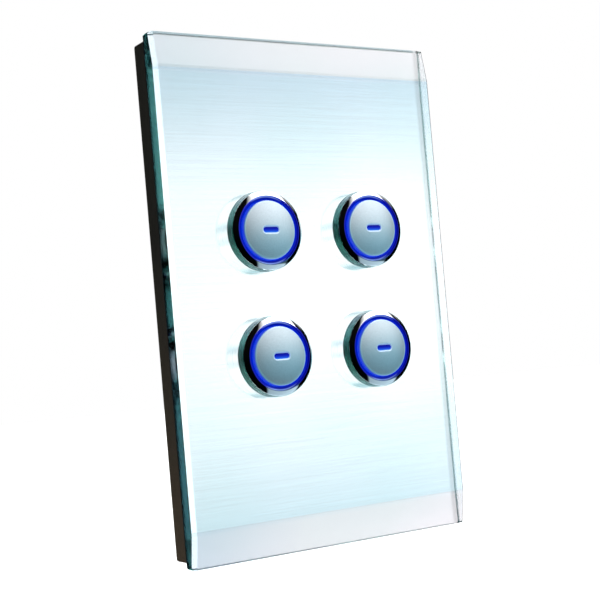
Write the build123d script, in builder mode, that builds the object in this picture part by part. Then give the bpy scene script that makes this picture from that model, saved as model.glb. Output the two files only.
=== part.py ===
"""Wall keypad: a bevelled glass plate with four lit push-buttons.

Millimetres. The origin lies midway between the two wall screw holes, in the plane of
the wall. +X is to the right, +Z is up, and the keypad faces -Y, into the room.
A height is a distance from the wall plane towards the room. It is negative behind
the wall, where the rear housing sits in its box.
"""
from build123d import *
import os

os.makedirs("parts", exist_ok=True)

# Glass plate
plate_width = 76.0
plate_height = 118.0
glass_back = 5.0
glass_front = 9.2
bevel_height = 7.5
bevel_depth = 1.3
side_arris = 0.9
end_arris = 0.15
corner_clip = 0.4
hole_arris = 0.1

# Dark body behind the glass
body_height = 115.4
body_corner = 0.8
body_wall = 1.6
wall_gap = 0.1
backing_thickness = 0.3
backing_inset = 0.02
frame_front = glass_back - backing_thickness
frame_floor = 3.1

# Buttons: radii and heights of the four alike sets
button_pitch = 28.4
bezel_radius = 9.1
bezel_bore = 7.75
bezel_shoulder = 11.65
bezel_rim = 12.2
bezel_rim_land = 0.1
bezel_bulge = 0.025
bezel_flange_radius = 10.3
bezel_flange_back = 3.9
bezel_play = 0.05
ring_outer = 7.6
ring_inner = 6.95
ring_front = 11.95
ring_dish = 0.15
ring_flange_radius = 8.5
ring_flange_front = 1.4
ring_back = 0.6
cap_radius = 6.7
cap_edge = 12.5
cap_crown = 13.2
cap_edge_radius = 0.3
cap_wall = 0.8
cap_front_wall = 1.2
cap_skirt = 5.2
dash_length = 3.8
dash_height = 1.2
dash_play = 0.03

# Mounting base
base_play = 0.3
base_front = 2.8
base_corner = 1.0
wall_screw_pitch = 84.0
wall_screw_hole = 2.0
wall_screw_recess = 4.2
wall_screw_floor = 1.2
collar_radius = 8.5
collar_front = 3.6
socket_play = 0.1
peg_radius = 1.5
peg_play = 0.2
peg_back = 0.4
peg_x = 33.0
peg_z = 26.0

# Boards and rear housing
housing_width = 50.0
housing_height = 66.0
housing_back = -22.0
housing_wall = 1.5
flange_height = 76.0
flange_back = -2.0
board_width = 46.4
board_height = 62.4
board_thickness = 1.6
switch_board_front = -2.4
switch_board_back = switch_board_front - board_thickness
bus_board_front = -12.0
bus_board_back = bus_board_front - board_thickness
pillar_x = 20.0
pillar_z = 28.0
pillar_foot = 3.0
pillar_tip = 1.8
pillar_play = 0.2
housing_screw_x = 19.0
housing_screw_z = 35.5

half_pitch = button_pitch / 2
button_places = {
    "upper_left": (-half_pitch, half_pitch),
    "upper_right": (half_pitch, half_pitch),
    "lower_left": (-half_pitch, -half_pitch),
    "lower_right": (half_pitch, -half_pitch),
}
button_centres = list(button_places.values())
pillar_centres = [(x, z) for x in (-pillar_x, pillar_x) for z in (-pillar_z, pillar_z)]
housing_screw_centres = [
    (x, z)
    for x in (-housing_screw_x, housing_screw_x)
    for z in (-housing_screw_z, housing_screw_z)
]


def button_section(centre):
    """Plane through a button's axis, whose coordinates are radius and height."""
    x, z = centre
    return Plane(origin=(x, 0, z), x_dir=(1, 0, 0), z_dir=(0, 0, -1))


def button_axis(centre):
    x, z = centre
    return Axis((x, 0, z), (0, 1, 0))


# Glass fascia: float glass with a wide bevel along its top and bottom edges, a
# polished arris round its front, wider at the sides, and a hole for each button.
half_width = plate_width / 2
half_height = plate_height / 2
with BuildPart() as glass_fascia:
    with BuildSketch(Plane.XZ.offset(glass_back)) as glass_outline:
        Rectangle(plate_width, plate_height)
    extrude(amount=glass_front - glass_back)
    for end in (1, -1):
        with BuildSketch(Plane.YZ):
            with BuildLine():
                Polyline(
                    (-glass_front, end * (half_height - bevel_height)),
                    (-glass_front, end * half_height),
                    (-glass_front + bevel_depth, end * half_height),
                    close=True,
                )
            make_face()
        extrude(amount=half_width, both=True, mode=Mode.SUBTRACT)
    front_faces = glass_fascia.faces().filter_by(lambda face: face.normal_at().Y < -0.9)
    side_edges = [edge for edge in front_faces.edges() if abs(edge.center().X) > half_width - 0.01]
    chamfer(side_edges, length=side_arris)
    front_faces = glass_fascia.faces().filter_by(lambda face: face.normal_at().Y < -0.9)
    end_edges = [edge for edge in front_faces.edges() if abs(edge.center().Z) > half_height - 0.01]
    chamfer(end_edges, length=end_arris)
    corner_edges = [
        edge
        for edge in glass_fascia.edges().filter_by(Axis.Y)
        if abs(edge.center().X) > half_width - 0.01 and abs(edge.center().Z) > half_height - 0.01
    ]
    chamfer(corner_edges, length=corner_clip)
    with BuildSketch(Plane.XZ.offset(glass_back)):
        with Locations(*button_centres):
            Circle(bezel_radius + bezel_play)
    extrude(amount=glass_front - glass_back, mode=Mode.SUBTRACT)
    hole_edges = (
        glass_fascia.edges().filter_by(GeomType.CIRCLE).filter_by_position(Axis.Y, -glass_front, -glass_front)
    )
    chamfer(hole_edges, length=hole_arris)
glass_fascia.part.label = "glass_fascia"
export_step(glass_fascia.part, "parts/glass_fascia.step")

# Brushed backing: thin silver sheet bonded to the back of the glass, cut just inside
# its outline.
with BuildPart() as brushed_backing:
    with BuildSketch(Plane.XZ.offset(frame_front)) as backing_outline:
        Rectangle(plate_width - 2 * backing_inset, plate_height - 2 * backing_inset)
        chamfer(backing_outline.vertices(), length=corner_clip)
        with Locations(*button_centres):
            Circle(bezel_radius + bezel_play, mode=Mode.SUBTRACT)
    extrude(amount=backing_thickness)
brushed_backing.part.label = "brushed_backing"
export_step(brushed_backing.part, "parts/brushed_backing.step")

# Fascia frame: dark moulded tray that carries the glass. Its pegs push into the base,
# and a notch in its bottom wall takes the tip of a screwdriver to pull it off.
bezel_lip_radius = 8.9
peg_lead = 0.3
notch_width = 8.0
notch_height = 1.2
cavity_width = plate_width - 2 * body_wall
cavity_height = body_height - 2 * body_wall
with BuildPart() as fascia_frame:
    with BuildSketch(Plane.XZ.offset(wall_gap)):
        RectangleRounded(plate_width, body_height, body_corner)
    extrude(amount=frame_front - wall_gap)
    with BuildSketch(Plane.XZ.offset(wall_gap)):
        RectangleRounded(cavity_width, cavity_height, body_corner)
    extrude(amount=frame_floor - wall_gap, mode=Mode.SUBTRACT)
    with BuildSketch(Plane.XZ.offset(bezel_flange_back)):
        with Locations(*button_centres):
            Circle(bezel_flange_radius + bezel_play)
    extrude(amount=frame_front - bezel_flange_back, mode=Mode.SUBTRACT)
    with BuildSketch(Plane.XZ.offset(frame_floor)):
        with Locations(*button_centres):
            Circle(bezel_lip_radius)
    extrude(amount=bezel_flange_back - frame_floor, mode=Mode.SUBTRACT)
    with BuildSketch(Plane.XZ.offset(peg_back)):
        with GridLocations(2 * peg_x, 2 * peg_z, 2, 2):
            Circle(peg_radius)
    extrude(amount=frame_floor - peg_back)
    peg_tips = (
        fascia_frame.edges().filter_by(GeomType.CIRCLE).filter_by_position(Axis.Y, -peg_back, -peg_back)
    )
    chamfer(peg_tips, length=peg_lead)
    with BuildSketch(Plane.XZ.offset(wall_gap)):
        with Locations((0, -body_height / 2 + body_wall / 2)):
            Rectangle(notch_width, body_wall)
    extrude(amount=notch_height, mode=Mode.SUBTRACT)
fascia_frame.part.label = "fascia_frame"
export_step(fascia_frame.part, "parts/fascia_frame.step")

# Mounting base: dark moulding that the two wall screws hold. Each button has a raised
# collar, and behind it a step that seats the light ring's flange.
base_width = cavity_width - 2 * base_play
base_height = cavity_height - 2 * base_play
ring_socket = ring_outer + socket_play
flange_socket = ring_flange_radius + socket_play
housing_pilot = 1.15
housing_pilot_depth = 2.2
pocket_width = 50.0
pocket_height = 5.0
pocket_floor = 1.4
pocket_places = (52.0, 31.0, -31.0, -52.0)
with BuildPart() as mounting_base:
    with BuildSketch(Plane.XZ):
        RectangleRounded(base_width, base_height, base_corner)
    extrude(amount=base_front)
    with BuildSketch(Plane.XZ):
        with Locations(*button_centres):
            Circle(collar_radius)
    extrude(amount=collar_front)
    with BuildSketch(Plane.XZ):
        with Locations(*button_centres):
            Circle(ring_socket)
    extrude(amount=collar_front, mode=Mode.SUBTRACT)
    with BuildSketch(Plane.XZ):
        with Locations(*button_centres):
            Circle(flange_socket)
    extrude(amount=ring_flange_front, mode=Mode.SUBTRACT)
    with BuildSketch(Plane.XZ):
        with GridLocations(0, wall_screw_pitch, 1, 2):
            Circle(wall_screw_hole)
        with GridLocations(2 * peg_x, 2 * peg_z, 2, 2):
            Circle(peg_radius + peg_play)
    extrude(amount=base_front, mode=Mode.SUBTRACT)
    with BuildSketch(Plane.XZ.offset(wall_screw_floor)):
        with GridLocations(0, wall_screw_pitch, 1, 2):
            Circle(wall_screw_recess)
    extrude(amount=base_front - wall_screw_floor, mode=Mode.SUBTRACT)
    with BuildSketch(Plane.XZ.offset(pocket_floor)):
        for z in pocket_places:
            with Locations((0, z)):
                SlotOverall(pocket_width, pocket_height)
    extrude(amount=base_front - pocket_floor, mode=Mode.SUBTRACT)
    with BuildSketch(Plane.XZ):
        with Locations(*housing_screw_centres):
            Circle(housing_pilot)
    extrude(amount=housing_pilot_depth, mode=Mode.SUBTRACT)
mounting_base.part.label = "mounting_base"
export_step(mounting_base.part, "parts/mounting_base.step")

# Each button's fixed and moving pieces, alike at all four places.
stem_disc_front = 3.2
stem_disc_back = 2.2
stem_radius = 5.85
stem_bore = 4.6
stem_boss_radius = 1.1
stem_boss_back = 2.0
leg_inner = 5.7
leg_outer = 6.5
leg_width = 1.6
foot_outer = 7.6
foot_front = 0.45
foot_back = -0.5
leg_count = 4
lens_flange_margin = 0.7
lens_flange_thickness = 1.0
switch_side = 4.5
switch_front = 1.0
switch_floor = -2.0
switch_play = 0.05
switch_edge = 0.25
plunger_radius = 1.2
plunger_back = -0.9
plunger_lead = 0.15
dome_foot_outer = 5.5
dome_foot_inner = 4.9
dome_foot_front = -1.7
dome_top_outer = 3.9
dome_top_inner = 3.1
dome_top_back = 1.7
dome_web = 0.5
cap_inner_front = cap_edge - cap_front_wall

for place, centre in button_places.items():
    # Chrome bezel: turned and polished collar, cemented into the glass from behind.
    with BuildPart() as chrome_bezel:
        with BuildSketch(button_section(centre)):
            with BuildLine():
                rim_edge = (bezel_bore + bezel_rim_land, bezel_rim)
                shoulder = (bezel_radius, bezel_shoulder)
                Polyline(
                    rim_edge,
                    (bezel_bore, bezel_rim),
                    (bezel_bore, bezel_flange_back),
                    (bezel_flange_radius, bezel_flange_back),
                    (bezel_flange_radius, frame_front),
                    (bezel_radius, frame_front),
                    shoulder,
                )
                SagittaArc(rim_edge, shoulder, bezel_bulge)
            make_face()
        revolve(axis=button_axis(centre))
    chrome_bezel.part.label = f"chrome_bezel_{place}"
    export_step(chrome_bezel.part, f"parts/chrome_bezel_{place}.step")

    # Light ring: clear light guide with a dished front, lit from its back end.
    with BuildPart() as light_ring:
        with BuildSketch(button_section(centre)):
            with BuildLine():
                Polyline(
                    (ring_inner, ring_back),
                    (ring_flange_radius, ring_back),
                    (ring_flange_radius, ring_flange_front),
                    (ring_outer, ring_flange_front),
                    (ring_outer, ring_front),
                    (ring_inner, ring_front - ring_dish),
                    close=True,
                )
            make_face()
        revolve(axis=button_axis(centre))
    light_ring.part.label = f"light_ring_{place}"
    export_step(light_ring.part, f"parts/light_ring_{place}.step")

    # Button cap: moulded cup with a slightly domed front and a slot for the dash.
    with BuildPart() as button_cap:
        with BuildSketch(button_section(centre)):
            with BuildLine():
                crown_end = (cap_radius - cap_edge_radius, cap_edge)
                edge_end = (cap_radius, cap_edge - cap_edge_radius)
                crown_sagitta = cap_crown - cap_edge
                ThreePointArc(
                    (0, cap_crown),
                    (crown_end[0] / 2, cap_crown - crown_sagitta / 4),
                    crown_end,
                )
                RadiusArc(crown_end, edge_end, cap_edge_radius)
                Polyline(
                    edge_end,
                    (cap_radius, cap_skirt),
                    (cap_radius - cap_wall, cap_skirt),
                    (cap_radius - cap_wall, cap_inner_front),
                    (0, cap_inner_front),
                    (0, cap_crown),
                )
            make_face()
        revolve(axis=button_axis(centre))
        with BuildSketch(Plane.XZ.offset(cap_inner_front)):
            with Locations(centre):
                SlotOverall(dash_length + 2 * dash_play, dash_height + 2 * dash_play)
        extrude(amount=cap_crown - cap_inner_front, mode=Mode.SUBTRACT)
    button_cap.part.label = f"button_cap_{place}"
    export_step(button_cap.part, f"parts/button_cap_{place}.step")

    # Indicator lens: the lit dash, with a flange that stops it behind the cap's front.
    with BuildPart() as indicator_lens:
        with BuildSketch(Plane.XZ.offset(cap_inner_front)):
            with Locations(centre):
                SlotOverall(dash_length, dash_height)
        extrude(amount=cap_crown - cap_inner_front - dash_play)
        with BuildSketch(Plane.XZ.offset(cap_inner_front - lens_flange_thickness)):
            with Locations(centre):
                SlotOverall(dash_length + 2 * lens_flange_margin, dash_height + 2 * lens_flange_margin)
        extrude(amount=lens_flange_thickness)
    indicator_lens.part.label = f"indicator_lens_{place}"
    export_step(indicator_lens.part, f"parts/indicator_lens_{place}.step")

    # Button stem: white plunger that plugs into the cap. Four hooked feet, which stand
    # between the lamps, stop it behind the light ring's end.
    with BuildPart() as button_stem:
        with BuildSketch(button_section(centre)):
            with BuildLine():
                Polyline(
                    (0, stem_disc_front),
                    (stem_bore, stem_disc_front),
                    (stem_bore, cap_inner_front),
                    (stem_radius, cap_inner_front),
                    (stem_radius, stem_disc_back),
                    (stem_boss_radius, stem_disc_back),
                    (stem_boss_radius, stem_boss_back),
                    (0, stem_boss_back),
                    close=True,
                )
            make_face()
        revolve(axis=button_axis(centre))
        with BuildSketch(Plane.XZ.offset(foot_back)):
            with Locations(centre):
                with PolarLocations((leg_inner + leg_outer) / 2, leg_count, 45):
                    Rectangle(leg_outer - leg_inner, leg_width)
        extrude(amount=stem_disc_front - foot_back)
        with BuildSketch(Plane.XZ.offset(foot_back)):
            with Locations(centre):
                with PolarLocations((leg_inner + foot_outer) / 2, leg_count, 45):
                    Rectangle(foot_outer - leg_inner, leg_width)
        extrude(amount=foot_front - foot_back)
    button_stem.part.label = f"button_stem_{place}"
    export_step(button_stem.part, f"parts/button_stem_{place}.step")

    # Tact plunger: the switch's own moving pin, which the stem's boss rests on.
    with BuildPart() as tact_plunger:
        with BuildSketch(Plane.XZ.offset(plunger_back)):
            with Locations(centre):
                Circle(plunger_radius)
        extrude(amount=stem_boss_back - plunger_back)
        chamfer(tact_plunger.faces().sort_by(Axis.Y)[0].edges(), length=plunger_lead)
    tact_plunger.part.label = f"tact_plunger_{place}"
    export_step(tact_plunger.part, f"parts/tact_plunger_{place}.step")

    # Tact switch: square switch body with a blind bore for its plunger.
    with BuildPart() as tact_switch:
        with BuildSketch(Plane.XZ.offset(switch_board_front)) as switch_outline:
            with Locations(centre):
                Rectangle(switch_side, switch_side)
            chamfer(switch_outline.vertices(), length=switch_edge)
        extrude(amount=switch_front - switch_board_front)
        with BuildSketch(Plane.XZ.offset(switch_floor)):
            with Locations(centre):
                Circle(plunger_radius + switch_play)
        extrude(amount=switch_front - switch_floor, mode=Mode.SUBTRACT)
    tact_switch.part.label = f"tact_switch_{place}"
    export_step(tact_switch.part, f"parts/tact_switch_{place}.step")

    # Return dome: silicone cone between the board and the stem's disc, at rest height.
    with BuildPart() as return_dome:
        with BuildSketch(button_section(centre)):
            with BuildLine():
                Polyline(
                    (dome_foot_inner, switch_board_front),
                    (dome_foot_outer, switch_board_front),
                    (dome_foot_outer, dome_foot_front),
                    (dome_top_outer, dome_top_back),
                    (dome_top_outer, stem_disc_back),
                    (dome_top_inner, stem_disc_back),
                    (dome_top_inner, dome_top_back),
                    (dome_foot_outer - dome_web, dome_foot_front - dome_web),
                    close=True,
                )
            make_face()
        revolve(axis=button_axis(centre))
    return_dome.part.label = f"return_dome_{place}"
    export_step(return_dome.part, f"parts/return_dome_{place}.step")

# Light box: white spacer between base and board. Its collars clamp the ring flanges,
# and its four chambers keep each ring's light to itself.
chamber_radius = 7.9
box_collar_play = 0.05
with BuildPart() as light_box:
    with BuildSketch(Plane.XZ.offset(switch_board_front)):
        Rectangle(board_width, board_height)
    extrude(amount=-switch_board_front)
    with BuildSketch(Plane.XZ):
        with Locations(*button_centres):
            Circle(ring_flange_radius - box_collar_play)
    extrude(amount=ring_back)
    with BuildSketch(Plane.XZ.offset(switch_board_front)):
        with Locations(*button_centres):
            Circle(chamber_radius)
    extrude(amount=ring_back - switch_board_front, mode=Mode.SUBTRACT)
light_box.part.label = "light_box"
export_step(light_box.part, "parts/light_box.step")

# Switch board: front circuit board, clamped between the light box and the pillars.
board_corner = 1.0
with BuildPart() as switch_board:
    with BuildSketch(Plane.XZ.offset(switch_board_back)):
        RectangleRounded(board_width, board_height, board_corner)
    extrude(amount=board_thickness)
switch_board.part.label = "switch_board"
export_step(switch_board.part, "parts/switch_board.step")

# Lamps: four under each light ring, one beside each tact switch for the dash.
lamp_length = 1.6
lamp_width = 0.8
lamp_height = 0.7
lamp_edge = 0.12
ring_lamp_radius = 7.25
lamps_per_ring = 4
dash_lamp_offset = 3.6
with BuildPart() as ring_leds:
    with BuildSketch(Plane.XZ.offset(switch_board_front)):
        with Locations(*button_centres):
            with PolarLocations(ring_lamp_radius, lamps_per_ring):
                Rectangle(lamp_width, lamp_length)
    extrude(amount=lamp_height)
    chamfer(ring_leds.faces().filter_by(Plane.XZ).group_by(Axis.Y)[0].edges(), length=lamp_edge)
ring_leds.part.label = "ring_leds"
export_step(ring_leds.part, "parts/ring_leds.step")

with BuildPart() as indicator_leds:
    with BuildSketch(Plane.XZ.offset(switch_board_front)):
        for x, z in button_centres:
            with Locations((x, z + dash_lamp_offset)):
                Rectangle(lamp_length, lamp_width)
    extrude(amount=lamp_height)
    chamfer(indicator_leds.faces().filter_by(Plane.XZ).group_by(Axis.Y)[0].edges(), length=lamp_edge)
indicator_leds.part.label = "indicator_leds"
export_step(indicator_leds.part, "parts/indicator_leds.step")

# Microcontroller: flat square chip with gull-wing leads, on the back of the front board.
chip_side = 7.0
chip_height = 1.0
chip_standoff = 0.1
chip_edge = 0.2
lead_count = 8
lead_pitch = 0.8
lead_width = 0.35
lead_reach = 1.0
lead_thickness = 0.3
chip_back = switch_board_back - chip_standoff - chip_height
with BuildPart() as microcontroller:
    with BuildSketch(Plane.XZ.offset(chip_back)):
        Rectangle(chip_side, chip_side)
    extrude(amount=chip_height)
    chamfer(microcontroller.faces().sort_by(Axis.Y)[-1].edges(), length=chip_edge)
    with BuildSketch(Plane.XZ.offset(switch_board_back - lead_thickness)):
        with GridLocations(lead_pitch, 0, lead_count, 1):
            Rectangle(lead_width, chip_side + 2 * lead_reach)
        with GridLocations(0, lead_pitch, 1, lead_count):
            Rectangle(chip_side + 2 * lead_reach, lead_width)
    extrude(amount=lead_thickness)
microcontroller.part.label = "microcontroller"
export_step(microcontroller.part, "parts/microcontroller.step")

# Plug-in joint between the boards: a socket on the front board, a header on the rear.
joint_z = -25.0
joint_width = 9.0
joint_depth = 4.6
pin_pitch = 2.0
pin_side = 0.6
pin_hole = 0.8
pins_across = 4
pins_down = 2
socket_back = -8.5
socket_floor = -5.0
header_front = -10.0
pin_front = -5.2
with BuildPart() as board_socket:
    with BuildSketch(Plane.XZ.offset(socket_back)):
        with Locations((0, joint_z)):
            Rectangle(joint_width, joint_depth)
    extrude(amount=switch_board_back - socket_back)
    with BuildSketch(Plane.XZ.offset(socket_back)):
        with Locations((0, joint_z)):
            with GridLocations(pin_pitch, pin_pitch, pins_across, pins_down):
                Rectangle(pin_hole, pin_hole)
    extrude(amount=socket_floor - socket_back, mode=Mode.SUBTRACT)
board_socket.part.label = "board_socket"
export_step(board_socket.part, "parts/board_socket.step")

with BuildPart() as board_header:
    with BuildSketch(Plane.XZ.offset(bus_board_front)):
        with Locations((0, joint_z)):
            Rectangle(joint_width, joint_depth)
    extrude(amount=header_front - bus_board_front)
    with BuildSketch(Plane.XZ.offset(bus_board_front)):
        with Locations((0, joint_z)):
            with GridLocations(pin_pitch, pin_pitch, pins_across, pins_down):
                Rectangle(pin_side, pin_side)
    extrude(amount=pin_front - bus_board_front)
board_header.part.label = "board_header"
export_step(board_header.part, "parts/board_header.step")

# Bus board: rear circuit board, which rests on the steps of the housing's pillars.
with BuildPart() as bus_board:
    with BuildSketch(Plane.XZ.offset(bus_board_back)):
        RectangleRounded(board_width, board_height, board_corner)
        with Locations(*pillar_centres):
            Circle(pillar_tip + pillar_play, mode=Mode.SUBTRACT)
    extrude(amount=board_thickness)
bus_board.part.label = "bus_board"
export_step(bus_board.part, "parts/bus_board.step")

# Bus transformer: ferrite core with its winding, behind the rear board.
core_place = (-9.0, 10.0)
core_width = 11.0
core_height = 8.5
core_depth = 6.0
core_edge = 0.4
with BuildPart() as bus_transformer:
    with BuildSketch(Plane.XZ.offset(bus_board_back - core_depth)):
        with Locations(core_place):
            Rectangle(core_width, core_height)
    extrude(amount=core_depth)
    chamfer(bus_transformer.faces().sort_by(Axis.Y)[-1].edges(), length=core_edge)
bus_transformer.part.label = "bus_transformer"
export_step(bus_transformer.part, "parts/bus_transformer.step")

# Capacitors: two radial cans behind the rear board.
can_radius = 2.5
can_height = 6.2
can_edge = 0.3
can_x = 9.0
can_z = (16.0, 8.0)
with BuildPart() as capacitors:
    with BuildSketch(Plane.XZ.offset(bus_board_back - can_height)):
        for z in can_z:
            with Locations((can_x, z)):
                Circle(can_radius)
    extrude(amount=can_height)
    fillet(capacitors.faces().filter_by(Plane.XZ).group_by(Axis.Y)[-1].edges(), radius=can_edge)
capacitors.part.label = "capacitors"
export_step(capacitors.part, "parts/capacitors.step")

# Resistors: two rows of chip resistors on the back of the front board.
resistor_length = 2.0
resistor_width = 1.25
resistor_height = 0.5
resistor_pitch = 4.0
resistor_rows = 30.0
resistors_across = 6
with BuildPart() as resistors:
    with BuildSketch(Plane.XZ.offset(switch_board_back - resistor_height)):
        with GridLocations(resistor_pitch, resistor_rows, resistors_across, 2):
            Rectangle(resistor_width, resistor_length)
    extrude(amount=resistor_height)
resistors.part.label = "resistors"
export_step(resistors.part, "parts/resistors.step")

# Terminal block: four ways, through a window in the housing. Wires enter from below,
# and the screws face the back.
block_z = -19.0
block_width = 20.4
block_height = 9.0
block_back = -26.6
block_edge = 0.4
way_count = 4
way_pitch = 4.8
way_bottom = block_z - block_height / 2
well_width = 3.8
well_depth = 6.0
well_back = -25.6
well_front = -21.6
clamp_play = 0.2
clamp_inset = 1.0
clamp_mouth = 2.4
driver_hole = 1.65
screw_head = 1.5
screw_back = -26.4
slot_width = 0.5
slot_depth = 0.5
way_centres = [((index - (way_count - 1) / 2) * way_pitch, block_z) for index in range(way_count)]
clamp_back = well_back + clamp_play
clamp_front = well_front - clamp_play
clamp_bottom = way_bottom + clamp_inset
clamp_top = way_bottom + well_depth - clamp_play
clamp_centre_z = (clamp_bottom + clamp_top) / 2
clamp_centres = [(x, clamp_centre_z) for x, z in way_centres]
with BuildPart() as terminal_block:
    with BuildSketch(Plane.XZ.offset(block_back)):
        with Locations((0, block_z)):
            Rectangle(block_width, block_height)
    extrude(amount=bus_board_back - block_back)
    chamfer(terminal_block.faces().sort_by(Axis.Y)[-1].edges(), length=block_edge)
    with BuildSketch(Plane.XZ.offset(well_back)):
        for x, z in way_centres:
            with Locations((x, way_bottom + well_depth / 2)):
                Rectangle(well_width, well_depth)
    extrude(amount=well_front - well_back, mode=Mode.SUBTRACT)
    with BuildSketch(Plane.XZ.offset(block_back)):
        with Locations(*clamp_centres):
            Circle(driver_hole)
    extrude(amount=well_back - block_back, mode=Mode.SUBTRACT)
terminal_block.part.label = "terminal_block"
export_step(terminal_block.part, "parts/terminal_block.step")

# Terminal clamps: brass cages that the wires go into.
with BuildPart() as terminal_clamps:
    with BuildSketch(Plane.XZ.offset(clamp_back)):
        with Locations(*clamp_centres):
            Rectangle(well_width - clamp_play, clamp_top - clamp_bottom)
    extrude(amount=clamp_front - clamp_back)
    with BuildSketch(Plane.XY.offset(clamp_bottom)):
        for x, z in clamp_centres:
            with Locations((x, -(clamp_back + clamp_front) / 2)):
                Rectangle(clamp_mouth, clamp_mouth)
    extrude(amount=clamp_top - clamp_bottom, mode=Mode.SUBTRACT)
terminal_clamps.part.label = "terminal_clamps"
export_step(terminal_clamps.part, "parts/terminal_clamps.step")

# Terminal screws: slotted heads on the cages.
with BuildPart() as terminal_screws:
    with BuildSketch(Plane.XZ.offset(screw_back)):
        with Locations(*clamp_centres):
            Circle(screw_head)
    extrude(amount=clamp_back - screw_back)
    with BuildSketch(Plane.XZ.offset(screw_back)):
        with Locations(*clamp_centres):
            Rectangle(2 * screw_head, slot_width)
    extrude(amount=slot_depth, mode=Mode.SUBTRACT)
terminal_screws.part.label = "terminal_screws"
export_step(terminal_screws.part, "parts/terminal_screws.step")

# Rear housing: dark cup in the wall box, with a flange that the base is screwed to,
# four pillars for the boards, vents and a window for the terminal block.
housing_corner = 2.0
housing_hole = 1.25
vent_width = 16.0
vent_height = 1.5
vent_pitch = 4.0
vent_count = 4
vent_z = 16.0
window_play = 0.3
inner_width = housing_width - 2 * housing_wall
inner_height = housing_height - 2 * housing_wall
with BuildPart() as rear_housing:
    with BuildSketch(Plane.XZ.offset(housing_back)):
        RectangleRounded(housing_width, housing_height, housing_corner)
    extrude(amount=-housing_back)
    with BuildSketch(Plane.XZ.offset(flange_back)):
        RectangleRounded(housing_width, flange_height, housing_corner)
    extrude(amount=-flange_back)
    with BuildSketch(Plane.XZ.offset(housing_back + housing_wall)):
        Rectangle(inner_width, inner_height)
    extrude(amount=-housing_back - housing_wall, mode=Mode.SUBTRACT)
    with BuildSketch(Plane.XZ.offset(housing_back + housing_wall)):
        with Locations(*pillar_centres):
            Circle(pillar_foot)
    extrude(amount=bus_board_back - housing_back - housing_wall)
    with BuildSketch(Plane.XZ.offset(housing_back + housing_wall)):
        with Locations(*pillar_centres):
            Circle(pillar_tip)
    extrude(amount=switch_board_back - housing_back - housing_wall)
    with BuildSketch(Plane.XZ.offset(flange_back)):
        with Locations(*housing_screw_centres):
            Circle(housing_hole)
    extrude(amount=-flange_back, mode=Mode.SUBTRACT)
    with BuildSketch(Plane.XZ.offset(housing_back)):
        with Locations((0, block_z)):
            Rectangle(block_width + 2 * window_play, block_height + 2 * window_play)
        with Locations((0, vent_z)):
            with GridLocations(0, vent_pitch, 1, vent_count):
                SlotOverall(vent_width, vent_height)
    extrude(amount=housing_wall, mode=Mode.SUBTRACT)
rear_housing.part.label = "rear_housing"
export_step(rear_housing.part, "parts/rear_housing.step")

# Housing screws: four cross-headed screws, from the back through the flange.
shank_radius = 1.1
shank_front = 2.0
head_radius = 2.0
head_height = 1.5
head_edge = 0.5
cross_length = 2.4
cross_width = 0.6
cross_depth = 0.8
with BuildPart() as housing_screws:
    with BuildSketch(Plane.XZ.offset(flange_back - head_height)):
        with Locations(*housing_screw_centres):
            Circle(head_radius)
    extrude(amount=head_height)
    fillet(
        housing_screws.faces().filter_by(Plane.XZ).group_by(Axis.Y)[-1].edges(),
        radius=head_edge,
    )
    with BuildSketch(Plane.XZ.offset(flange_back)):
        with Locations(*housing_screw_centres):
            Circle(shank_radius)
    extrude(amount=shank_front - flange_back)
    with BuildSketch(Plane.XZ.offset(flange_back - head_height)):
        with Locations(*housing_screw_centres):
            Rectangle(cross_length, cross_width)
            Rectangle(cross_width, cross_length)
    extrude(amount=cross_depth, mode=Mode.SUBTRACT)
housing_screws.part.label = "housing_screws"
export_step(housing_screws.part, "parts/housing_screws.step")
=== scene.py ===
import bmesh
import bpy
import math
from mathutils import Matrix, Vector


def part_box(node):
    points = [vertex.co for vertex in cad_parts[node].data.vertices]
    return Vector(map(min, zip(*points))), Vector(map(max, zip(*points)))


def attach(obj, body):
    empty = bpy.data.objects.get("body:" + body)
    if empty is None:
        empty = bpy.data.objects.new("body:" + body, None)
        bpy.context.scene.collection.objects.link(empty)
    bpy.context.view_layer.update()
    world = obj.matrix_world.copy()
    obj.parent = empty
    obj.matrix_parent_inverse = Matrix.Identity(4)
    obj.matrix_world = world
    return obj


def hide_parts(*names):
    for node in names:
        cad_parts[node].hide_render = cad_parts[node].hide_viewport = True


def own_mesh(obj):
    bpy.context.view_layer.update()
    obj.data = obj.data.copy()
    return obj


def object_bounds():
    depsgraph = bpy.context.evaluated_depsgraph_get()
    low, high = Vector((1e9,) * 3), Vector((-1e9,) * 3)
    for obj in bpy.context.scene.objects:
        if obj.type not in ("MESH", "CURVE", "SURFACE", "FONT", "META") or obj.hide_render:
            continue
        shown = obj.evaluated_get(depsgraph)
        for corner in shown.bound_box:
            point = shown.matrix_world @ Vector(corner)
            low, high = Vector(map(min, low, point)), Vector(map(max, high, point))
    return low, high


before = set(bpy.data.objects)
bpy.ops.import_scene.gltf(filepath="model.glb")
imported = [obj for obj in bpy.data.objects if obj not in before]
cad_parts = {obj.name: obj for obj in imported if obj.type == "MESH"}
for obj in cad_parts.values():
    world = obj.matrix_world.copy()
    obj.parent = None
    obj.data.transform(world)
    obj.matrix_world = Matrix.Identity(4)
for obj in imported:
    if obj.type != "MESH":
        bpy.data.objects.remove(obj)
cad_low, cad_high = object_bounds()

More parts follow.
